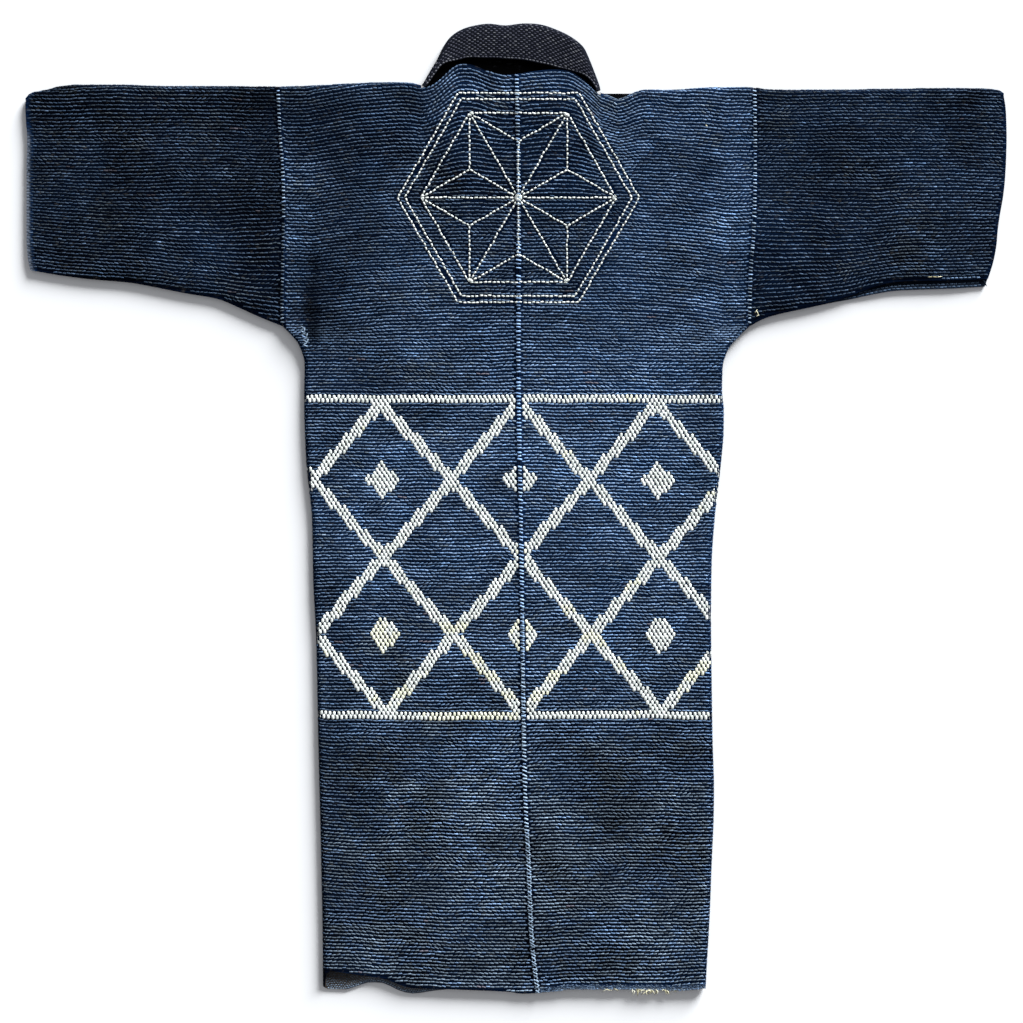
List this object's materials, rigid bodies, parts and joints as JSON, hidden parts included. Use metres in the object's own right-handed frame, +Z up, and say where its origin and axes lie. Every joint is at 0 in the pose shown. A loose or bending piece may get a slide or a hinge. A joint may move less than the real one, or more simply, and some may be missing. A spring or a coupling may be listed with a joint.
{
  "type": "quilted fireman's coat, laid flat back up",
  "caption": "Thick quilted indigo cotton coat with wide straight sleeves and a black turned-over collar band, lying flat with its back up.",
  "frame": {"origin": "on the ground, under the middle of the coat's box, as it lies flat with its back up", "axes": "+X to the right as one looks down on the coat's back, +Y from the hem to the collar, +Z up, out of the ground"},
  "size_m": [1.226, 1.2132, 0.0097],
  "materials": {
    "indigo_quilting": "matt, faded, quilted in rows of pale blue running stitch",
    "black_collar": "matt, with small grey stitches",
    "white_stitching": "thick undyed cotton thread"
  },
  "bodies": {
    "root": {"body_left": "indigo_quilting", "body_right": "indigo_quilting", "sleeve_left": "indigo_quilting", "sleeve_right": "indigo_quilting", "collar": "black_collar"}
  },
  "joints": []
}
